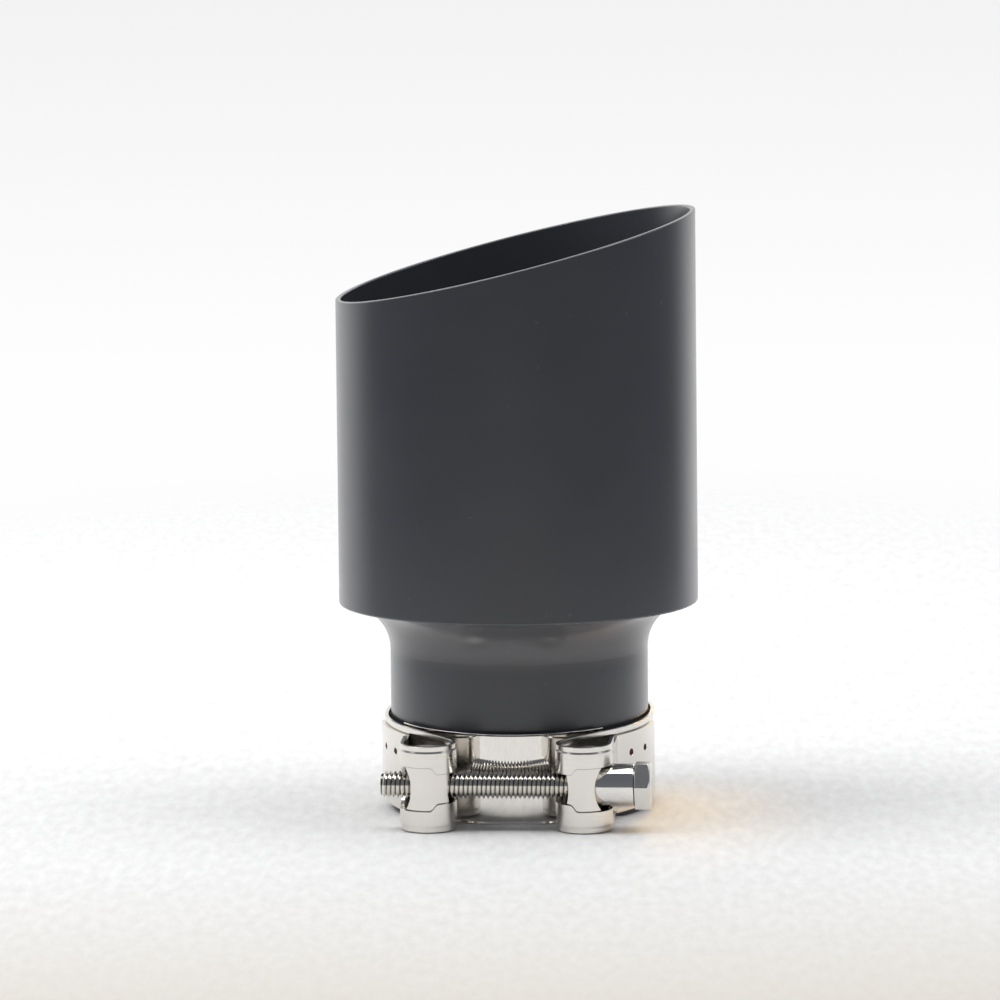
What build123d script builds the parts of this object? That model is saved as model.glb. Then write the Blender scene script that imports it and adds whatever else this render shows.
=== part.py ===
from build123d import *
from math import asin, atan2, cos, degrees, radians, sin, sqrt, tan
import os

# Slant-cut exhaust tip that stands on its inlet, with a band clamp round the inlet neck.
# Origin: centre of the inlet's end. +Z: up the tip's axis. +X: the long side of the slanted rim.

# Outer sleeve
sleeve_diameter = 80.0
sleeve_wall = 1.2
sleeve_length = 77.8  # bottom edge to the centre of the rim
rim_slant = 13.8  # degrees
rim_round = 0.35
bottom_round = 0.5

# Inlet neck: a tube that flares out into the sleeve's bottom
neck_bore = 55.0
neck_wall = 1.2
neck_straight = 35.3
flare_turn = 80.0  # degrees
lip_bend = 1.7  # outer radius of the bend from the flare into the lip
lip_height = 6.0
lip_cover = 1.6  # how far the sleeve reaches below the straight lip
weld_gap = 0.05
slit_count = 4
slit_width = 3.0
slit_length = 15.0
slit_start = 45.0  # degrees

# Clamp strip: one band whose ends loop round the trunnions and lie back on the band
strip_thickness = 0.8
strip_flat = 16.2
edge_step = 0.2  # how far the edges are set off from the strip's middle part
edge_rise = 0.4  # height of the slope between them
edge_height = 1.05
edge_round = 0.12
band_slack = 0.2  # room between the neck and the band's sides
band_oval = 1.15  # half of the band's straight sides
loop_spacing = 34.3  # between the two trunnions
loop_room = 0.1
edge_run = 6.7  # how far the stepped edges follow the outer leg
tail_bend = 1.9
tail_end = 84.0  # degrees from the gap's centre
tail_gap = 0.1
dimple_diameter = 1.6
dimple_depth = 0.43
dimple_angles = (59.0, 70.5)  # degrees from the gap's centre
dimple_height = 3.6

# Windows in the loops
window_outer_radius = 4.92
window_gap_radius = 3.4
neck_in_start = 0.7  # where the window starts to narrow, from the trunnion's axis
neck_in_end = 2.9

# Bridge plate under the gap
bridge_thickness = 0.6
bridge_gap = 0.05
bridge_angle = 50.5  # degrees each side of its middle
bridge_lead = -6.0  # degrees that the loose plate has slid round
bridge_flat = 19.2
flare_height = 0.55  # of the plate's edges, which turn out past the band's
flare_reach = 0.28

# Trunnions, bolt and spacer
trunnion_radius = 5.4
trunnion_height = 15.6
boss_room = 0.22
boss_lift = 0.14  # how far the boss sits above the window's middle
boss_drop = 0.05  # how far the boss lies below the loop's outside
seat_radius = 7.6  # dishes on the outer sides
plain_seat = 2.7  # from the axis to the dish's edge on the front
threaded_seat = 3.3
hollow_radius = 12.0  # dishes on the gap sides
plain_hollow = 3.05
threaded_hollow = 4.6
bolt_diameter = 6.0
bolt_room = 2.5  # between the bridge plate and the bolt
bolt_length = 55.9
bolt_tip_chamfer = 0.65
thread_clearance = 0.05
hole_clearance = 0.25
head_flats = 10.0
head_crown = 9.5  # diameter of the flat end inside the head's chamfer
head_height = 3.5
head_chamfer = 30.0  # degrees
head_turn = 6.0  # degrees that the front corner points up
head_offset = 11.25  # trunnion's axis to the underside of the head
head_gap = 0.1
spacer_diameter = 9.6
seat_gap = 0.1

# How the loose clamp sits on the neck
clamp_turn = -5.2  # degrees about the tip's axis
clamp_tilt = 2.6  # degrees, bolt side down
clamp_height = 11.6
clamp_shift = -0.5

# Sizes that follow
sleeve_radius = sleeve_diameter / 2
sleeve_bore_radius = sleeve_radius - sleeve_wall
neck_bore_radius = neck_bore / 2
neck_radius = neck_bore_radius + neck_wall
lip_radius = sleeve_bore_radius - weld_gap
flare_rise = (lip_radius - neck_radius) / (1 - cos(radians(flare_turn)))
flare_radius = flare_rise - lip_bend
lip_start = neck_straight + flare_rise * sin(radians(flare_turn))
sleeve_bottom = lip_start - lip_cover
rim_centre = sleeve_bottom + sleeve_length
half_flat = strip_flat / 2
half_strip = strip_thickness / 2
ring_radius = neck_radius + band_slack + half_strip  # middle of the strip
ring_front = Vector(0, -band_oval)
bridge_outside = ring_radius - half_strip - bridge_gap
loop_reach = band_oval + bridge_outside + bolt_room + bolt_diameter / 2  # clamp centre to bolt
loop_radius = trunnion_radius + loop_room + half_strip
loop_outside = loop_radius + half_strip
trunnion_axis = Vector(loop_spacing / 2, -loop_reach)
tail_radius = ring_radius + strip_thickness + tail_gap
tail_bend_radius = tail_bend + half_strip
bolt_radius = bolt_diameter / 2
spacer_radius = spacer_diameter / 2
boss_radius = loop_outside - boss_drop


def polar(centre, radius, heading):
    return centre + Vector(radius * cos(radians(heading)), radius * sin(radians(heading)))


def heading_of(step):
    return degrees(atan2(step.Y, step.X))


def outer_sleeve():
    """Straight tube, cut on a slant at its mouth."""
    top = rim_centre + sleeve_radius * tan(radians(rim_slant)) + sleeve_wall
    tube = Cylinder(sleeve_radius, top - sleeve_bottom) - Cylinder(sleeve_bore_radius, top - sleeve_bottom)
    tube = Pos(0, 0, (top + sleeve_bottom) / 2) * tube
    mouth = Pos(0, 0, rim_centre) * Rot(0, -rim_slant, 0)
    cut = 4 * sleeve_radius
    waste = Box(cut, cut, cut, align=(Align.CENTER, Align.CENTER, Align.MIN))
    sleeve = tube - mouth * waste
    bottom_edge = sleeve.edges().filter_by(GeomType.CIRCLE).sort_by(SortBy.RADIUS)[-1]
    sleeve = fillet(bottom_edge, bottom_round)
    return fillet(sleeve.edges().filter_by(GeomType.ELLIPSE), rim_round)


def neck_wall_line(depth):
    """Half section of the neck, a depth below its outer surface, from the inlet's end to the lip's top."""
    turn = radians(flare_turn)
    flare = Vector(neck_radius + flare_radius, neck_straight)
    lip = Vector(lip_radius - lip_bend, lip_start)

    def on_flare(angle):
        return flare + Vector(-cos(angle), sin(angle)) * (flare_radius + depth)

    def on_lip(angle):
        return lip + Vector(cos(angle), -sin(angle)) * (lip_bend - depth)

    return [
        Line((neck_radius - depth, 0), on_flare(0)),
        ThreePointArc(on_flare(0), on_flare(turn / 2), on_flare(turn)),
        ThreePointArc(on_lip(turn), on_lip(turn / 2), on_lip(0)),
        Line(on_lip(0), (lip_radius - depth, lip_start + lip_height)),
    ]


def inlet_neck():
    """Tube with a flared end, slit at its inlet so that the clamp can close it."""
    outside = neck_wall_line(0)
    inside = neck_wall_line(neck_wall)
    ends = [Line(outside[0] @ 0, inside[0] @ 0), Line(outside[-1] @ 1, inside[-1] @ 1)]
    neck = revolve(Plane.XZ * make_face(outside + inside + ends), Axis.Z)
    foot = (Align.MIN, Align.CENTER, Align.MIN)
    slit_straight = slit_length - slit_width / 2
    slit = Box(2 * neck_radius, slit_width, slit_straight, align=foot)
    slit += Pos(0, 0, slit_straight) * Rot(0, 90, 0) * Cylinder(
        slit_width / 2, 2 * neck_radius, align=(Align.CENTER, Align.CENTER, Align.MIN)
    )
    for i in range(slit_count):
        neck -= Rot(0, 0, slit_start + i * 360 / slit_count) * slit
    return neck


def strip_section(thickness, edge):
    """Section of a strip, as a function of where its middle lies and which way its edges turn.
    The edge's points give how far it is turned out, and at what height."""

    def face(middle, sense):
        def side_line(offset):
            upper = [(middle + offset + sense * out, height) for out, height in edge]
            return [(x, -height) for x, height in reversed(upper)] + upper

        outline = side_line(thickness / 2) + list(reversed(side_line(-thickness / 2)))
        section = make_face(Polyline(*outline, close=True))
        return fillet(section.vertices(), edge_round)

    return face


def flat_section(middle, sense):
    return Pos(middle, 0) * Rectangle(strip_thickness, strip_flat)


def strip_arc(section, centre, radius, start, sweep):
    """Strip bent round an upright axis. A left turn, with sweep above zero, faces the centre."""
    face = Plane.XZ * section(radius, -1 if sweep > 0 else 1)
    first = min(start, start + sweep)
    return Pos(centre.X, centre.Y, 0) * Rot(0, 0, first) * revolve(face, Axis.Z, abs(sweep))


def strip_line(section, start, end):
    run = end - start
    plane = Plane(origin=start, x_dir=Vector(-run.Y, run.X), z_dir=run)
    return extrude(plane * section(0, 1), run.length)


def strip_half():
    """Right half of the strip, from the back of the band to the end of its tail."""
    step_top = half_flat + edge_rise
    edge = [(0, half_flat), (edge_step, step_top), (edge_step, step_top + edge_height)]
    stepped = strip_section(strip_thickness, edge)
    side = Vector(ring_radius, 0)

    # The leg is the tangent that crosses over from the ring to the loop.
    to_loop = trunnion_axis - ring_front
    leg = heading_of(to_loop) - degrees(asin((ring_radius + loop_radius) / to_loop.length))
    leg_start = polar(ring_front, ring_radius, leg + 90)
    leg_end = polar(trunnion_axis, loop_radius, leg - 90)

    # The outer leg runs straight back until its bend meets the tail's arc.
    outer_start = trunnion_axis + Vector(loop_radius, 0)
    edge_end = outer_start + Vector(0, edge_run)
    bend_x = outer_start.X + tail_bend_radius
    bend = ring_front + Vector(bend_x, -sqrt((tail_radius + tail_bend_radius) ** 2 - bend_x**2))
    tail_start = heading_of(bend - ring_front)

    return [
        strip_arc(stepped, -ring_front, ring_radius, 90, -90),
        strip_line(stepped, side - ring_front, side + ring_front),
        strip_arc(stepped, ring_front, ring_radius, 0, leg + 90),
        strip_line(stepped, leg_start, leg_end),
        strip_arc(stepped, trunnion_axis, loop_radius, leg - 90, 90 - leg),
        strip_line(stepped, outer_start, edge_end),
        strip_line(flat_section, edge_end, Vector(outer_start.X, bend.Y)),
        strip_arc(flat_section, bend, tail_bend_radius, 180, tail_start),
        strip_arc(flat_section, ring_front, tail_radius, tail_start, tail_end - 90 - tail_start),
    ]


def along_bolt(radius, start, end):
    """Round bar along the bolt, between two places measured from the right trunnion's axis."""
    bar = Cylinder(radius, end - start, align=(Align.CENTER, Align.CENTER, Align.MIN))
    return Pos(trunnion_axis.X + start, trunnion_axis.Y, 0) * Rot(0, 90, 0) * bar


def window(room):
    """Front of the right loop's window, a room inside its edge: wide outside, narrow towards the gap."""
    wide, narrow, far = window_outer_radius - room, window_gap_radius - room, 2 * loop_outside
    middle = (neck_in_start + neck_in_end) / 2
    lines = [Line((far, -wide), (far, wide)), Line((-far, -narrow), (-far, narrow))]
    for side in (-1, 1):
        lines += [
            Line((far, side * wide), (-neck_in_start, side * wide)),
            Bezier(
                (-neck_in_start, side * wide),
                (-middle, side * wide),
                (-middle, side * narrow),
                (-neck_in_end, side * narrow),
            ),
            Line((-neck_in_end, side * narrow), (-far, side * narrow)),
        ]
    outline = Plane.XZ * make_face(lines)
    return Pos(trunnion_axis.X, trunnion_axis.Y, 0) * extrude(outline, far)


def clamp_band():
    """Strip with its two loops, their windows and the dimples that fix its tails."""
    half = Part() + strip_half()
    half -= window(0)
    half -= along_bolt(window_outer_radius, 0, 2 * loop_outside)
    half -= along_bolt(window_gap_radius, -2 * loop_outside, 0)
    ball_radius = (dimple_diameter**2 / 4 + dimple_depth**2) / (2 * dimple_depth)
    ball_out = tail_radius + half_strip + ball_radius - dimple_depth
    for angle in dimple_angles:
        place = polar(ring_front, ball_out, angle - 90)
        for height in (-dimple_height, dimple_height):
            half -= Pos(place.X, place.Y, height) * Sphere(ball_radius)
    return half + mirror(half, about=Plane.YZ)


def clamp_bridge():
    """Plate under the gap, a little wider than the band, with flared edges."""
    half_bridge = bridge_flat / 2
    section = strip_section(bridge_thickness, [(0, half_bridge), (flare_reach, half_bridge + flare_height)])
    radius = bridge_outside - bridge_thickness / 2
    return strip_arc(section, ring_front, radius, bridge_lead + bridge_angle - 90, -2 * bridge_angle)


def dish_centre(radius, edge):
    """Place along the bolt of a dish whose rim crosses the boss's front at the given edge."""
    return edge + sqrt(edge**2 + radius**2 - boss_radius**2)


def dish(radius, edge, window_radius):
    """Hollow in a trunnion's side, as high as the window there."""
    ball = Pos(dish_centre(radius, edge), 0, 0) * Sphere(radius)
    return ball & Box(4 * radius, 4 * radius, 2 * window_radius)


def trunnion(hole_radius, seat, hollow):
    """Round bar with a boss that fills the loop's window, drilled across and dished on both sides."""
    block = Cylinder(trunnion_radius, trunnion_height)
    boss = Pos(-trunnion_axis) * window(boss_room) & Cylinder(boss_radius, trunnion_height)
    body = block + Pos(0, 0, boss_lift) * boss
    body -= dish(seat_radius, seat, window_outer_radius)
    body -= mirror(dish(hollow_radius, hollow, window_gap_radius), about=Plane.YZ)
    return Pos(trunnion_axis) * body - along_bolt(hole_radius, -2 * loop_outside, 2 * loop_outside)


def spacer_tube():
    """Tube between the plain trunnion's dish and the bolt's head, with a ball end."""
    centre = dish_centre(seat_radius, plain_seat)
    ball = seat_radius - seat_gap
    bore = bolt_radius + hole_clearance
    end = head_offset - head_gap

    def on_ball(radius):
        return Vector(centre - sqrt(ball**2 - radius**2), radius)

    start, stop = on_ball(bore), on_ball(spacer_radius)
    half = make_face(
        [
            ThreePointArc(start, on_ball((bore + spacer_radius) / 2), stop),
            Line(stop, (end, spacer_radius)),
            Line((end, spacer_radius), (end, bore)),
            Line((end, bore), start),
        ]
    )
    return Pos(trunnion_axis) * revolve(half, Axis.X)


def clamp_bolt():
    """Hexagon bolt with one of its corners to the front."""
    shank = along_bolt(bolt_radius, head_offset - bolt_length, head_offset)
    tip = shank.edges().filter_by(GeomType.CIRCLE).sort_by(Axis.X)[0]
    shank = chamfer(tip, bolt_tip_chamfer)
    corner_radius = head_flats / 2 / cos(radians(30))
    hexagon = RegularPolygon(head_flats / 2, 6, major_radius=False, rotation=30 - head_turn)
    head = extrude(hexagon, head_height)
    edge = corner_radius - head_crown / 2
    crown = make_face(
        Polyline(
            (0, 0),
            (corner_radius, 0),
            (corner_radius, head_height - edge * tan(radians(head_chamfer))),
            (corner_radius - edge, head_height),
            (0, head_height),
            close=True,
        )
    )
    head = head & revolve(Plane.XZ * crown, Axis.Z)
    return shank + Pos(trunnion_axis.X + head_offset, trunnion_axis.Y, 0) * Rot(0, 90, 0) * head


def on_neck(piece):
    """Put a clamp piece where the loose clamp hangs on the neck."""
    return Pos(0, clamp_shift, clamp_height) * Rot(0, 0, clamp_turn) * Rot(clamp_tilt, 0, 0) * piece


pieces = {
    "outer_sleeve": outer_sleeve(),
    "inlet_neck": inlet_neck(),
    "clamp_band": on_neck(clamp_band()),
    "clamp_bridge": on_neck(clamp_bridge()),
    "threaded_trunnion": on_neck(
        mirror(trunnion(bolt_radius + thread_clearance, threaded_seat, threaded_hollow), about=Plane.YZ)
    ),
    "plain_trunnion": on_neck(trunnion(bolt_radius + hole_clearance, plain_seat, plain_hollow)),
    "spacer_tube": on_neck(spacer_tube()),
    "clamp_bolt": on_neck(clamp_bolt()),
}

os.makedirs("parts", exist_ok=True)
for name, piece in pieces.items():
    export_step(piece, f"parts/{name}.step")
print("ok", len(pieces), "pieces")
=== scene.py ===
import itertools
import math
import random

import bmesh
import bpy
from mathutils import Matrix, Vector


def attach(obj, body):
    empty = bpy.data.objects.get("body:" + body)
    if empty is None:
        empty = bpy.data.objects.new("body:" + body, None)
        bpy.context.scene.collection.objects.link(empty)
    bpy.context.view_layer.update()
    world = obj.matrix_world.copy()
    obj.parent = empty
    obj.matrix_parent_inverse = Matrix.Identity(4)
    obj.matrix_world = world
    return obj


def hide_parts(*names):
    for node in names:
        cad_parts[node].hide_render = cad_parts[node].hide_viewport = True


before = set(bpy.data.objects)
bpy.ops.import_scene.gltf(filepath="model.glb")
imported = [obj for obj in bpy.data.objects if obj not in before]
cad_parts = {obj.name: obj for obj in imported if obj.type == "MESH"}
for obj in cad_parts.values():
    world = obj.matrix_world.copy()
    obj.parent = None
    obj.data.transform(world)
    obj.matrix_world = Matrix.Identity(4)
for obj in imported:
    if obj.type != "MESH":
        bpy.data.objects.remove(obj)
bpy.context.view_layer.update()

# Slant-cut exhaust tip on its inlet, with a loose band clamp round the neck. Lengths are in metres.

MM = 0.001
MERGE = 1e-7  # points closer than this are one point

# Where the loose clamp sits on the neck: u runs along its bolt, v away from the bolt, w up.
CLAMP_TURN = math.radians(-5.2)
CLAMP_TILT = math.radians(2.6)
CLAMP_HEIGHT = 11.6 * MM
CLAMP_SHIFT = -0.5 * MM
CLAMP = (
    Matrix.Translation((0, CLAMP_SHIFT, CLAMP_HEIGHT))
    @ Matrix.Rotation(CLAMP_TURN, 4, "Z")
    @ Matrix.Rotation(CLAMP_TILT, 4, "X")
)
BOLT_REACH = 35.5 * MM  # from the clamp's centre out to the bolt
TRUNNION_U = 17.15 * MM  # from the clamp's middle to each trunnion
BOLT = CLAMP @ Matrix.Translation((0, -BOLT_REACH, 0))  # x along the bolt, from the clamp's middle

# Bolt: a fully threaded M6 with a hexagon head
HEAD_SEAT = TRUNNION_U + 11.25 * MM  # the head's underside, along the bolt
HEAD_FLATS = 10.0 * MM
HEAD_HEIGHT = 3.5 * MM
HEAD_CROWN = 9.5 * MM  # across the flat top, inside the crown's cone
HEAD_CHAMFER = math.radians(30)
HEAD_TURN = math.radians(6)  # how far the front corner points up
HEAD_STEPS = 16  # along one flat
HEAD_EDGE = 0.055 * MM  # width of the broken edges
HEAD_EDGE_ANGLE = math.radians(25)  # edges sharper than this are broken
WASHER_SHARE = 0.93  # width of the washer face under the head, as a share of the flats
WASHER_STEP = 0.12 * MM
BOLT_LENGTH = 55.9 * MM
THREAD_RADIUS = 3.0 * MM
THREAD_PITCH = 1.0 * MM
THREAD_DEPTH = 0.68 * MM  # a little over the real 0.61 mm, so that it shows
THREAD_STEPS = 48  # round one turn
THREAD_LEAD = 1.5  # turns before the tip, where the mesh starts
THREAD_SPARE = 3  # turns beyond the bolt's length
THREAD_IN_HEAD = 0.3 * MM
THREAD_HEIGHT = "thread_height"  # 0 in the grooves, 1 on the crests
TIP_RADIUS = THREAD_RADIUS - 0.7 * MM  # of the flat at the chamfered tip
# One pitch as shares of the pitch and the depth: rounded root, flank and flat crest with rounded edges
THREAD_PROFILE = (
    (0.0, 0.05),
    (0.03, 0.0),
    (0.07, 0.0),
    (0.1, 0.05),
    (0.45, 0.95),
    (0.49, 1.0),
    (0.61, 1.0),
    (0.65, 0.95),
)

# Spacer between the right trunnion and the head
SPACER_RADIUS = 4.8 * MM
SPACER_BORE = 3.25 * MM
SPACER_END = HEAD_SEAT - 0.1 * MM
SPACER_EDGE = 0.25 * MM
SEAT_CENTRE = TRUNNION_U + 7.798 * MM  # of the ball that sits in the trunnion's dish
SEAT_RADIUS = 7.5 * MM
SEAT_STEPS = 8

# Spot welds that hold the strip's tails, in the band's dimples
TAIL_CENTRE = -1.15 * MM  # middle of the tail's arc, along v
TAIL_OUTSIDE = 30.6 * MM
SPOT_RADIUS = 0.8 * MM
SPOT_DEPTH = 0.43 * MM
SPOT_SHARE = 0.94  # of the dimple that is burnt
SPOT_SKIN = 0.012 * MM  # half the thickness of a print
SPOT_RINGS = 6
SPOT_SIDES = 24
SPOT_ANGLES = (59.0, 70.5)  # degrees from the gap's middle
SPOT_HEIGHT = 3.6 * MM

# Where the neck starts to flare out, and the height over which a paler grey, a painted reflection of the floor,
# blends into its coat
FLARE_START = 32.6 * MM
FLARE_BLEND = 5 * MM

# Weld inside the sleeve, where the neck's lip ends
WELD_HEIGHT = 53.3 * MM
WELD_RADIUS = 38.25 * MM
WELD_WIDTH = 0.55 * MM
WELD_RIPPLE = 1.6 * MM
WELD_SIDES = 10
WELD_SEED = 4
SWELL_LEAST, SWELL_RANGE = 0.9, 0.2  # how wide a ripple is, as shares of the weld's width
RIPPLE_STEPS = 8
RIPPLE_TROUGH = 0.82  # width between two ripples, as a share of a ripple's

# Paper under the object
FLOOR_RADIUS = 0.7
FLOOR_SIDES = 64
# The paper's colour is painted duller and warmer towards the front: painted light, not a lamp.
PAPER_NEAR = (-0.06, -0.32)  # along Y, where the light on it gets duller and warmer
PAPER_FADE = (0.36, 0.62)  # from the middle, where it fades out
PAPER_SIDES = 1.7  # how much sooner that is at the sides than in front

# Camera: a long lens, almost level with the tip
CAMERA_DISTANCE = 1.9048
CAMERA_RISE = math.radians(7.5202)
CAMERA_ROLL = math.radians(-0.5987)
CAMERA_AIM = Vector((-3.9191, 0, 68.3034)) * MM
CAMERA_LENS = 308.11  # millimetres, as the sensor
CAMERA_SENSOR = 36
CAMERA_END = 20

# World, by direction: the third number of a direction is its slope
SURROUND_MIDDLE = (-0.12, 0.99, 0)  # of the white surround, behind the object and slightly left
SURROUND_EDGE = (0.35, 0.95)  # cosine of the angle from that middle: dim room, full white
ROOM_SLOPES = (0.1, 0.7)  # between these the room gets darker
BACKDROP_SLOPES = (-0.115, -0.07)  # between these the backdrop gets slightly greyer


def linear(code):
    """Linear colour of an sRGB hex value."""
    parts = [int(code[i : i + 2], 16) / 255 for i in (1, 3, 5)]
    return (*[p / 12.92 if p <= 0.04045 else ((p + 0.055) / 1.055) ** 2.4 for p in parts], 1.0)


def per_metre(size_mm):
    """Scale of a pattern whose features are that many millimetres apart."""
    return 1000 / size_mm


def wire(tree, node, values=None, links=None):
    """Sets a node's sockets: constants, and links from (node, output)."""
    for socket, value in (values or {}).items():
        node.inputs[socket].default_value = value
    for socket, (source, output) in (links or {}).items():
        tree.links.new(source.outputs[output], node.inputs[socket])


def add(tree, kind, values=None, links=None, **settings):
    """Adds a node with its settings, socket values and links."""
    made = tree.nodes.new(kind)
    for name, value in settings.items():
        setattr(made, name, value)
    wire(tree, made, values, links)
    return made


def new_material(name):
    """Empty material with its shader node wired to the output."""
    material = bpy.data.materials.new(name)
    material.use_nodes = True
    tree = material.node_tree
    tree.nodes.clear()
    shader = add(tree, "ShaderNodeBsdfPrincipled")
    add(tree, "ShaderNodeOutputMaterial", links={"Surface": (shader, "BSDF")})
    return material, tree, shader


def satin_black_coat(name, flare_reflection_from=None):
    """Silicone-black coat, sprayed and baked on steel: a deep black with an even satin sheen that turns pale
    at the sides, faint spray texture, and a few dust nibs. From the given height up, where the tube was spun out
    into a flare, a paler grey is painted on: a painted reflection of the bright floor that the flare faces."""
    material, tree, shader = new_material(name)
    cloud_mm, nib_mm, spray_mm, spray_depth_mm = 22, 1.3, 0.5, 0.01
    place = add(tree, "ShaderNodeTexCoord")
    cloud = add(
        tree,
        "ShaderNodeTexNoise",
        {"Scale": per_metre(cloud_mm), "Detail": 3.0},
        {"Vector": (place, "Object")},
    )
    tone = add(
        tree,
        "ShaderNodeMix",
        {"A": linear("#3d3f45"), "B": linear("#46484e")},
        {"Factor": (cloud, "Fac")},
        data_type="RGBA",
    )
    # Painted reflection: from that height up the coat is painted paler grey, for the bright floor the flare
    # faces.
    if flare_reflection_from:
        spot = add(tree, "ShaderNodeSeparateXYZ", links={0: (place, "Object")})
        flare_reflection_mask = add(
            tree,
            "ShaderNodeMapRange",
            {"From Min": flare_reflection_from, "From Max": flare_reflection_from + FLARE_BLEND},
            {"Value": (spot, "Z")},
            interpolation_type="SMOOTHSTEP",
        )
        tone = add(
            tree,
            "ShaderNodeMix",
            {"B": linear("#5e5e61")},
            {"Factor": (flare_reflection_mask, "Result"), "A": (tone, "Result")},
            data_type="RGBA",
        )
    nibs = add(
        tree,
        "ShaderNodeTexNoise",
        {"Scale": per_metre(nib_mm), "Detail": 0.0},
        {"Vector": (place, "Object")},
    )
    nib_mask = add(
        tree,
        "ShaderNodeMapRange",
        {"From Min": 0.85, "From Max": 0.9, "To Max": 0.2},
        {"Value": (nibs, "Fac")},
    )
    colour = add(
        tree,
        "ShaderNodeMix",
        {"B": linear("#77787a")},
        {"Factor": (nib_mask, "Result"), "A": (tone, "Result")},
        data_type="RGBA",
    )
    sheen = add(
        tree,
        "ShaderNodeMapRange",
        {"From Min": 0.3, "From Max": 0.7, "To Min": 0.3, "To Max": 0.38},
        {"Value": (cloud, "Fac")},
    )
    spray = add(
        tree,
        "ShaderNodeTexNoise",
        {"Scale": per_metre(spray_mm), "Detail": 2.0},
        {"Vector": (place, "Object")},
    )
    bump = add(
        tree,
        "ShaderNodeBump",
        {"Strength": 0.2, "Distance": spray_depth_mm * MM},
        {"Height": (spray, "Fac")},
    )
    wire(
        tree,
        shader,
        {"IOR": 1.5, "Coat Weight": 0.6, "Coat Roughness": 0.22},
        {
            "Base Color": (colour, "Result"),
            "Roughness": (sheen, "Result"),
            "Normal": (bump, "Normal"),
            "Coat Normal": (bump, "Normal"),
        },
    )
    return material


def steel(name, pale, dark, roughness, grain_mm, turn=0.0, relief_mm=0.004, groove_shade=None):
    """Bare stainless steel whose fine marks are grain_mm apart along x, y and z, after a turn about z. A thread
    has a painted shade colour in its grooves, which its crests lose."""
    material, tree, shader = new_material(name)
    cloud_mm = 9
    place = add(tree, "ShaderNodeTexCoord")
    along_grain = add(
        tree,
        "ShaderNodeMapping",
        {"Rotation": (0, 0, turn), "Scale": [per_metre(g) for g in grain_mm]},
        {"Vector": (place, "Object")},
    )
    marks = add(
        tree,
        "ShaderNodeTexNoise",
        {"Scale": 1.0, "Detail": 4.0, "Roughness": 0.6},
        {"Vector": (along_grain, "Vector")},
    )
    cloud = add(
        tree,
        "ShaderNodeTexNoise",
        {"Scale": per_metre(cloud_mm), "Detail": 2.0},
        {"Vector": (place, "Object")},
    )
    colour = add(
        tree,
        "ShaderNodeMix",
        {"A": linear(dark), "B": linear(pale)},
        {"Factor": (cloud, "Fac")},
        data_type="RGBA",
    )
    # Painted shade in the thread's grooves: the lower a point stands, the darker its colour.
    if groove_shade:
        height = add(tree, "ShaderNodeAttribute", attribute_name=THREAD_HEIGHT)
        bright = add(
            tree,
            "ShaderNodeMapRange",
            {"From Min": 0.0, "From Max": 0.35},
            {"Value": (height, "Fac")},
        )
        colour = add(
            tree,
            "ShaderNodeMix",
            {"A": linear(groove_shade)},
            {"Factor": (bright, "Result"), "B": (colour, "Result")},
            data_type="RGBA",
        )
    rough = add(
        tree,
        "ShaderNodeMapRange",
        {"From Min": 0.3, "From Max": 0.7, "To Min": roughness[0], "To Max": roughness[1]},
        {"Value": (marks, "Fac")},
    )
    bump = add(
        tree,
        "ShaderNodeBump",
        {"Strength": 0.3, "Distance": relief_mm * MM},
        {"Height": (marks, "Fac")},
    )
    wire(
        tree,
        shader,
        {"Metallic": 1.0},
        {"Base Color": (colour, "Result"), "Roughness": (rough, "Result"), "Normal": (bump, "Normal")},
    )
    return material


def pale_paper():
    """Matte white paper sweep with a fine mottle, and a duller, warmer light painted on towards the front. It
    fades out far from the object, into the white behind it."""
    material, tree, shader = new_material("white_matte_paper")
    # The mottle is drawn longer from front to back, so that it still shows on the floor seen so flat.
    mottle_mm, mottle_back_mm, mottle_depth_mm = 2.2, 9, 0.3
    place = add(tree, "ShaderNodeTexCoord")
    laid = add(
        tree,
        "ShaderNodeMapping",
        {"Scale": (per_metre(mottle_mm), per_metre(mottle_back_mm), 1)},
        {"Vector": (place, "Object")},
    )
    grain = add(tree, "ShaderNodeTexNoise", {"Scale": 1.0, "Detail": 4.0}, {"Vector": (laid, "Vector")})
    tone = add(
        tree,
        "ShaderNodeMix",
        {"A": linear("#dddcda"), "B": linear("#f9f9f9")},
        {"Factor": (grain, "Fac")},
        data_type="RGBA",
    )
    spot = add(tree, "ShaderNodeSeparateXYZ", links={0: (place, "Object")})
    # Painted shade: duller, warmer paper towards the front, as if less light fell there.
    near = add(
        tree,
        "ShaderNodeMapRange",
        {"From Min": PAPER_NEAR[0], "From Max": PAPER_NEAR[1]},
        {"Value": (spot, "Y")},
        interpolation_type="SMOOTHSTEP",
    )
    colour = add(
        tree,
        "ShaderNodeMix",
        {"B": linear("#ddd6cb")},
        {"Factor": (near, "Result"), "A": (tone, "Result")},
        data_type="RGBA",
    )
    bump = add(
        tree,
        "ShaderNodeBump",
        {"Strength": 0.5, "Distance": mottle_depth_mm * MM},
        {"Height": (grain, "Fac")},
    )
    across = add(tree, "ShaderNodeMapping", {"Scale": (PAPER_SIDES, 1, 1)}, {"Vector": (place, "Object")})
    spread = add(tree, "ShaderNodeVectorMath", links={0: (across, "Vector")}, operation="LENGTH")
    fade = add(
        tree,
        "ShaderNodeMapRange",
        {"From Min": PAPER_FADE[0], "From Max": PAPER_FADE[1], "To Min": 1.0, "To Max": 0.0},
        {"Value": (spread, "Value")},
        interpolation_type="SMOOTHSTEP",
    )
    wire(
        tree,
        shader,
        {"Roughness": 0.9, "Specular IOR Level": 0.1},
        {"Base Color": (colour, "Result"), "Normal": (bump, "Normal"), "Alpha": (fade, "Result")},
    )
    return material


def put_in_scene(name, data):
    """New object with that data, in the scene."""
    made = bpy.data.objects.new(name, data)
    bpy.context.scene.collection.objects.link(made)
    return made


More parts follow.
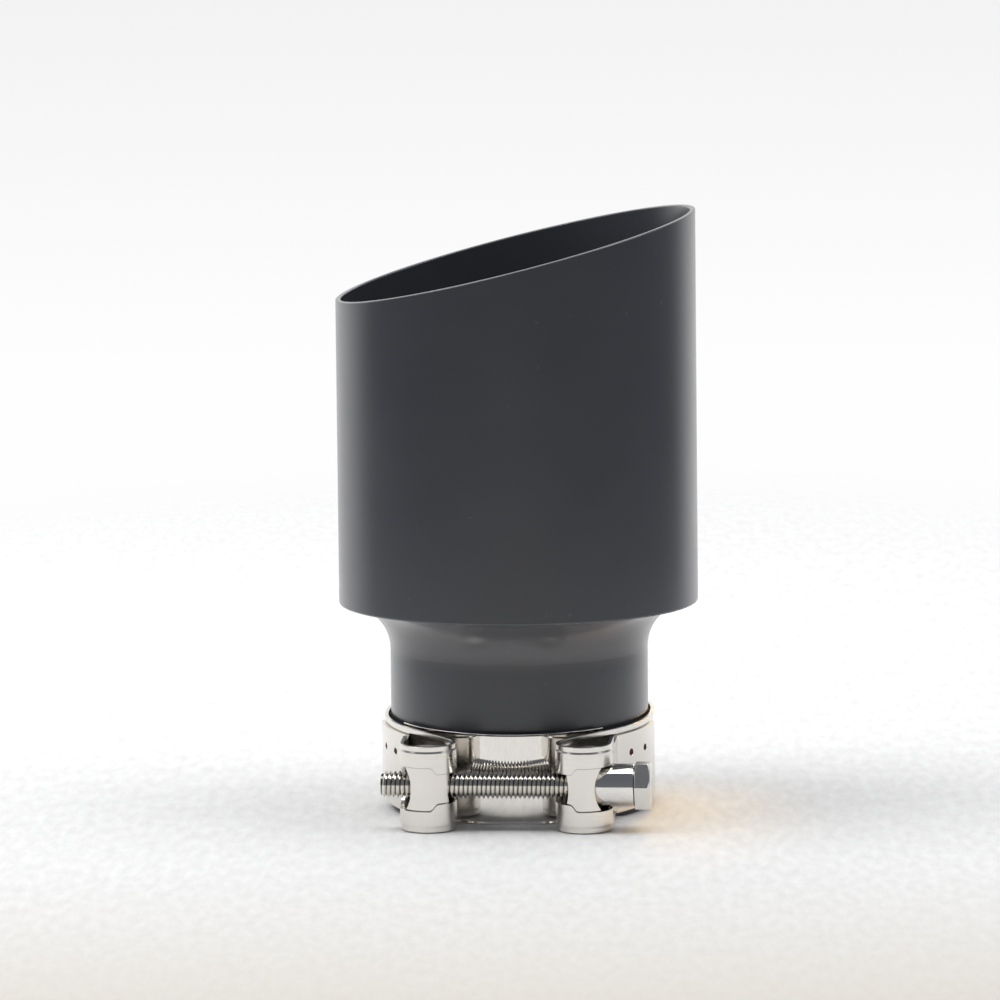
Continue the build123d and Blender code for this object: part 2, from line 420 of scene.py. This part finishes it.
def piece(name, mesh, material, body, replaces=(), smooth_deg=32):
    """Mesh object in place, riding on a CAD body."""
    made = put_in_scene(name, mesh)
    mesh.materials.append(material)
    mesh.shade_smooth()
    mesh.set_sharp_from_angle(angle=math.radians(smooth_deg))
    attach(made, body)
    if replaces:
        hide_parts(*replaces)
    return made


def mesh_of(name, points, faces, place=Matrix(), fill_ends=False):
    """Mesh from points in a piece's own frame, with doubles merged, open ends filled and normals outwards."""
    mesh = bpy.data.meshes.new(name)
    mesh.from_pydata([place @ Vector(p) for p in points], [], faces)
    form = bmesh.new()
    form.from_mesh(mesh)
    bmesh.ops.remove_doubles(form, verts=form.verts, dist=MERGE)
    bmesh.ops.dissolve_degenerate(form, edges=form.edges, dist=MERGE)
    if fill_ends:
        bmesh.ops.holes_fill(form, edges=[e for e in form.edges if e.is_boundary], sides=0)
    bmesh.ops.recalc_face_normals(form, faces=form.faces)
    form.to_mesh(mesh)
    form.free()
    return mesh


def between(a, b, count, closed=True):
    """Faces between two rings of points, or two open rows, whose first points are a and b."""
    last = count if closed else count - 1
    return [(a + k, a + (k + 1) % count, b + (k + 1) % count, b + k) for k in range(last)]


def turned(name, outline, place, steps=128):
    """Closed outline of (x, radius) points, turned about the x axis."""
    count = len(outline)
    points, faces = [], []
    for i in range(steps):
        angle = 2 * math.pi * i / steps
        points += [(x, r * math.cos(angle), r * math.sin(angle)) for x, r in outline]
        faces += between(i * count, (i + 1) % steps * count, count)
    return mesh_of(name, points, faces, place)


def thread_mesh():
    """Right-hand thread from the bolt's chamfered tip to its head, on a solid core."""
    start, end = HEAD_SEAT - BOLT_LENGTH, HEAD_SEAT + THREAD_IN_HEAD
    core = THREAD_RADIUS - THREAD_DEPTH
    count = len(THREAD_PROFILE)
    rows = (int((end - start) / THREAD_PITCH) + THREAD_SPARE) * THREAD_STEPS
    points, faces = [], []
    for i in range(rows + 1):
        angle = 2 * math.pi * i / THREAD_STEPS
        base = start - THREAD_LEAD * THREAD_PITCH + THREAD_PITCH * i / THREAD_STEPS
        for share, height in THREAD_PROFILE:
            x, r = base + share * THREAD_PITCH, core + height * THREAD_DEPTH
            if x <= start:
                x, r = start, TIP_RADIUS
            elif x >= end:
                x, r = end, core
            r = min(r, TIP_RADIUS + (x - start))
            points.append((x, r * math.sin(angle), r * math.cos(angle)))
    for i in range(rows):
        a, b = i * count, (i + 1) * count
        faces += between(a, b, count, closed=False)
        # The end of the profile joins its start, one turn further on.
        if i + 1 + THREAD_STEPS <= rows:
            turn = THREAD_STEPS * count
            faces.append((a + count - 1, a + turn, b + turn, b + count - 1))
    mesh = mesh_of("bolt_thread", points, faces, BOLT, fill_ends=True)
    # How high each point stands on the thread, for the painted shade in its grooves
    height = mesh.attributes.new(THREAD_HEIGHT, "FLOAT", "POINT")
    to_bolt = BOLT.inverted()
    for vertex, value in zip(mesh.vertices, height.data):
        value.value = ((to_bolt @ vertex.co).yz.length - core) / THREAD_DEPTH
    return mesh


def head_mesh():
    """Hexagon head with a turned crown: each flat ends in an arc where the crown's cone cuts it."""
    corner = 2 * math.pi / 6
    flat, crown = HEAD_FLATS / 2, HEAD_CROWN / 2
    washer = WASHER_SHARE * flat
    around = 6 * HEAD_STEPS
    points, faces = [], []
    for i in range(around):
        angle = corner * i / HEAD_STEPS
        reach = flat / math.cos(angle % corner - corner / 2)
        top = HEAD_HEIGHT - max(0, reach - crown) * math.tan(HEAD_CHAMFER)
        section = [
            (0, 0),
            (0, washer),
            (WASHER_STEP, washer),
            (WASHER_STEP, reach),
            (top, reach),
            (HEAD_HEIGHT, crown),
            (HEAD_HEIGHT, 0),
        ]
        up = HEAD_TURN + angle
        points += [(HEAD_SEAT + x, -r * math.cos(up), r * math.sin(up)) for x, r in section]
        count = len(section)
        faces += between(i * count, (i + 1) % around * count, count, closed=False)
    return mesh_of("bolt_head", points, faces, BOLT)


def spacer_outline():
    """Section of the spacer: ball end in the trunnion's dish, small broken edges, flat end at the head."""

    def ball(radius):
        return SEAT_CENTRE - math.sqrt(SEAT_RADIUS**2 - radius**2), radius

    inner, outer, edge = SPACER_BORE, SPACER_RADIUS, SPACER_EDGE
    arc = [ball(inner + (outer - 0.6 * edge - inner) * i / SEAT_STEPS) for i in range(SEAT_STEPS + 1)]
    corner_x = arc[-1][0]
    return arc + [
        (corner_x + 0.25 * edge, outer - 0.15 * edge),
        (corner_x + 0.7 * edge, outer),
        (SPACER_END - edge, outer),
        (SPACER_END - 0.3 * edge, outer - 0.3 * edge),
        (SPACER_END, outer - edge),
        (SPACER_END, inner + 0.5 * edge),
        (SPACER_END - 0.5 * edge, inner),
    ]


def weld_mesh():
    """Bead of overlapping ripples round the lip's end."""
    ripples = int(2 * math.pi * WELD_RADIUS / WELD_RIPPLE)
    around = ripples * RIPPLE_STEPS
    noise = random.Random(WELD_SEED)
    swell = [SWELL_LEAST + SWELL_RANGE * noise.random() for _ in range(ripples)]
    points, faces = [], []
    for i in range(around):
        ripple, step = divmod(i, RIPPLE_STEPS)
        bulge = math.sqrt(1 - (step / RIPPLE_STEPS) ** 2)
        size = WELD_WIDTH * swell[ripple] * (RIPPLE_TROUGH + (1 - RIPPLE_TROUGH) * bulge)
        angle = 2 * math.pi * i / around
        for k in range(WELD_SIDES):
            turn = 2 * math.pi * k / WELD_SIDES
            r, z = WELD_RADIUS + size * math.cos(turn), WELD_HEIGHT + size * math.sin(turn)
            points.append((r * math.cos(angle), r * math.sin(angle), z))
        faces += between(i * WELD_SIDES, (i + 1) % around * WELD_SIDES, WELD_SIDES)
    return mesh_of("lip_weld", points, faces)


def spot_mesh():
    """Burnt prints of the spot welds, a thin shell in each dimple of the band."""
    ball = (SPOT_RADIUS**2 + SPOT_DEPTH**2) / (2 * SPOT_DEPTH)
    edge = SPOT_SHARE * math.asin(SPOT_RADIUS / ball)
    points, faces = [], []
    for angle, side, height in itertools.product(SPOT_ANGLES, (-1, 1), (-SPOT_HEIGHT, SPOT_HEIGHT)):
        middle = (
            Matrix.Translation((0, TAIL_CENTRE, height))
            @ Matrix.Rotation(side * math.radians(angle), 4, "Z")
            @ Matrix.Translation((0, SPOT_DEPTH - ball - TAIL_OUTSIDE, 0))
        )
        # Front and back of the shell, each from its middle out to the edge
        for radius in (ball - SPOT_SKIN, ball + SPOT_SKIN):
            first = len(points)
            for ring in range(SPOT_RINGS + 1):
                tilt = edge * ring / SPOT_RINGS
                for k in range(SPOT_SIDES):
                    around = 2 * math.pi * k / SPOT_SIDES
                    x, z = math.sin(tilt) * math.cos(around), math.sin(tilt) * math.sin(around)
                    points.append(middle @ Vector((radius * x, radius * math.cos(tilt), radius * z)))
            for ring in range(SPOT_RINGS):
                faces += between(first + ring * SPOT_SIDES, first + (ring + 1) * SPOT_SIDES, SPOT_SIDES)
        # The rim between their outer rings
        faces += between(first - SPOT_SIDES, first + SPOT_RINGS * SPOT_SIDES, SPOT_SIDES)
    return mesh_of("spot_welds", points, faces, CLAMP)


# Finishes. Real rolling lines, lathe rings and tumbling marks are finer than the render shows, so they are drawn
# 0.2 to 0.5 mm apart.
black_coat = satin_black_coat("satin_black_baked_coat")
neck_coat = satin_black_coat("satin_black_coat_with_painted_flare_reflection", FLARE_START)
# Cold-rolled stainless strip, bright annealed: soft mirror, with faint rolling lines along the strip.
rolled_strip = steel("bright_rolled_stainless", "#efece7", "#e4e0d9", (0.16, 0.28), (14, 14, 0.25))
# Thin plate of the same steel, rolled to a mirror: it shows the bolt's thread.
mirror_plate = steel(
    "mirror_rolled_stainless", "#efece7", "#e6e2dc", (0.02, 0.06), (14, 14, 0.3), relief_mm=0.0005
)
# Turned stainless bar, tumbled to break its edges: an even sheen.
tumbled_bar = steel(
    "tumbled_turned_stainless", "#edeae5", "#e3dfd8", (0.16, 0.24), (0.3, 0.3, 0.3), relief_mm=0.001
)
# Drawn steel tube, polished in a lathe: mirror with hair-fine rings round the bolt.
polished_tube = steel(
    "polished_drawn_steel", "#efedea", "#e6e3df", (0.05, 0.1), (0.2, 6, 6), -CLAMP_TURN, relief_mm=0.001
)
# Rolled thread: bright crests, slightly soft from the rolling dies, and grooves darkened with painted shade.
rolled_thread = steel(
    "bright_rolled_thread",
    "#edebe6",
    "#e2dfd9",
    (0.1, 0.18),
    (0.4, 0.4, 0.4),
    -CLAMP_TURN,
    relief_mm=0.002,
    groove_shade="#857f77",
)
# Forged head of the same bolt, tumbled bright: a fine even grain.
forged_head = steel("tumbled_forged_head", "#edebe6", "#dedbd5", (0.12, 0.24), (0.5, 0.5, 0.5), -CLAMP_TURN)
# Resistance welds: dull prints on the strip, burnt brown and blue.
burnt_weld = steel("heat_tinted_weld_prints", "#7a5a3e", "#2c2a30", (0.35, 0.5), (0.4, 0.4, 0.4))

# CAD nodes that stay
for node, finish in {
    "outer_sleeve": black_coat,
    "inlet_neck": neck_coat,
    "clamp_band": rolled_strip,
    "clamp_bridge": mirror_plate,
    "threaded_trunnion": tumbled_bar,
    "plain_trunnion": tumbled_bar,
}.items():
    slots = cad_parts[node].data.materials
    slots.clear()
    slots.append(finish)

# Pieces
piece("bolt_thread", thread_mesh(), rolled_thread, "bolt", ["clamp_bolt"])
head = piece("bolt_head", head_mesh(), forged_head, "bolt")
broken_edges = head.modifiers.new("broken_edges", "BEVEL")
broken_edges.width = HEAD_EDGE
broken_edges.segments = 2
broken_edges.limit_method = "ANGLE"
broken_edges.angle_limit = HEAD_EDGE_ANGLE
spacer = turned("spacer", spacer_outline(), BOLT)
piece("spacer", spacer, polished_tube, "spacer", ["spacer_tube"])
piece("lip_weld", weld_mesh(), black_coat, "tip", smooth_deg=60)
piece("spot_welds", spot_mesh(), burnt_weld, "tip")

# Floor
floor_mesh = bpy.data.meshes.new("paper_sweep")
floor_angles = [2 * math.pi * i / FLOOR_SIDES for i in range(FLOOR_SIDES)]
floor_edge = [(FLOOR_RADIUS * math.cos(a), FLOOR_RADIUS * math.sin(a), 0) for a in floor_angles]
floor_mesh.from_pydata(floor_edge, [], [range(FLOOR_SIDES)])
floor_mesh.materials.append(pale_paper())
floor = put_in_scene("paper_sweep", floor_mesh)

# Camera
camera_back = Vector((0, -math.cos(CAMERA_RISE), math.sin(CAMERA_RISE)))
level_right = Vector((1, 0, 0))
level_up = camera_back.cross(level_right)
camera_right = math.cos(CAMERA_ROLL) * level_right + math.sin(CAMERA_ROLL) * level_up
camera_up = math.cos(CAMERA_ROLL) * level_up - math.sin(CAMERA_ROLL) * level_right
camera = put_in_scene("camera", bpy.data.cameras.new("camera"))
camera.data.lens = CAMERA_LENS
camera.data.sensor_width = CAMERA_SENSOR
camera.data.clip_end = CAMERA_END
camera.matrix_world = (
    Matrix.Translation(CAMERA_AIM + camera_back * CAMERA_DISTANCE)
    @ Matrix((camera_right, camera_up, camera_back)).transposed().to_4x4()
)
bpy.context.scene.camera = camera


def lamp(name, place, aim, size, power, colour="#ffffff", spread_deg=180):
    """Rectangular softbox that faces its aim."""
    data = bpy.data.lights.new(name, "AREA")
    data.shape = "RECTANGLE"
    data.size, data.size_y = size
    data.energy = power
    data.color = linear(colour)[:3]
    data.spread = math.radians(spread_deg)
    facing = (Vector(aim) - Vector(place)).to_track_quat("-Z", "Y").to_matrix().to_4x4()
    put_in_scene(name, data).matrix_world = Matrix.Translation(place) @ facing


# Lamps: large and soft above, on both sides and behind, and a small warm one on the floor right of the clamp
lamp("top_softbox", (-0.12, -0.02, 1.0), aim=(-0.12, -0.02, 0), size=(1.5, 0.54), power=8.1)
lamp("left_key", (-0.75, -0.05, 0.95), aim=(0, 0, 0.03), size=(0.8, 0.8), power=3.5)
lamp("right_fill", (0.8, -0.05, 0.9), aim=(0, 0, 0.03), size=(0.8, 0.8), power=1.9)
lamp("back_softbox", (-0.1, 0.45, 0.4), aim=(-0.1, 0.45, 0), size=(1.6, 0.5), power=1.6)
lamp(
    "warm_glow",
    (0.056, 0.11, 0.11),
    aim=(0.027, -0.024, 0),
    size=(0.03, 0.03),
    power=0.0028,
    colour="#ffca5c",
    spread_deg=24,
)

# World: a white surround behind the object, which the shiny pieces show too, and a dim room in front of it. The
# camera sees the white backdrop all round.
world = bpy.data.worlds.new("studio")
bpy.context.scene.world = world
world.use_nodes = True
sky = world.node_tree
sky.nodes.clear()
direction = add(sky, "ShaderNodeTexCoord")
backward = add(
    sky,
    "ShaderNodeVectorMath",
    {1: SURROUND_MIDDLE},
    {0: (direction, "Generated")},
    operation="DOT_PRODUCT",
)
behind = add(
    sky,
    "ShaderNodeMapRange",
    {"From Min": SURROUND_EDGE[0], "From Max": SURROUND_EDGE[1]},
    {"Value": (backward, "Value")},
    interpolation_type="SMOOTHSTEP",
)
slope = add(sky, "ShaderNodeSeparateXYZ", links={0: (direction, "Generated")})
overhead = add(
    sky,
    "ShaderNodeMapRange",
    {"From Min": ROOM_SLOPES[0], "From Max": ROOM_SLOPES[1]},
    {"Value": (slope, "Z")},
)
front = add(
    sky,
    "ShaderNodeMix",
    {"A": linear("#6b6e74"), "B": linear("#63666d")},
    {"Factor": (overhead, "Result")},
    data_type="RGBA",
)
room = add(
    sky,
    "ShaderNodeMix",
    {"B": linear("#ffffff")},
    {"Factor": (behind, "Result"), "A": (front, "Result")},
    data_type="RGBA",
)
rise = add(
    sky,
    "ShaderNodeMapRange",
    {"From Min": BACKDROP_SLOPES[0], "From Max": BACKDROP_SLOPES[1]},
    {"Value": (slope, "Z")},
)
backdrop = add(
    sky,
    "ShaderNodeMix",
    {"A": linear("#fefefe"), "B": linear("#f2f2f2")},
    {"Factor": (rise, "Result")},
    data_type="RGBA",
)
path = add(sky, "ShaderNodeLightPath")
shiny = add(
    sky,
    "ShaderNodeMath",
    links={0: (path, "Is Glossy Ray"), 1: (path, "Is Transmission Ray")},
    operation="MAXIMUM",
)
mirrored = add(
    sky,
    "ShaderNodeMath",
    links={0: (shiny, "Value"), 1: (behind, "Result")},
    operation="MULTIPLY",
)
shown = add(
    sky,
    "ShaderNodeMath",
    links={0: (path, "Is Camera Ray"), 1: (mirrored, "Value")},
    operation="MAXIMUM",
)
seen = add(
    sky,
    "ShaderNodeMix",
    links={"Factor": (shown, "Value"), "A": (room, "Result"), "B": (backdrop, "Result")},
    data_type="RGBA",
)
shade = add(sky, "ShaderNodeBackground", {"Strength": 1.0}, {"Color": (seen, "Result")})
add(sky, "ShaderNodeOutputWorld", links={"Surface": (shade, "Background")})

bpy.context.scene.view_settings.view_transform = "Standard"
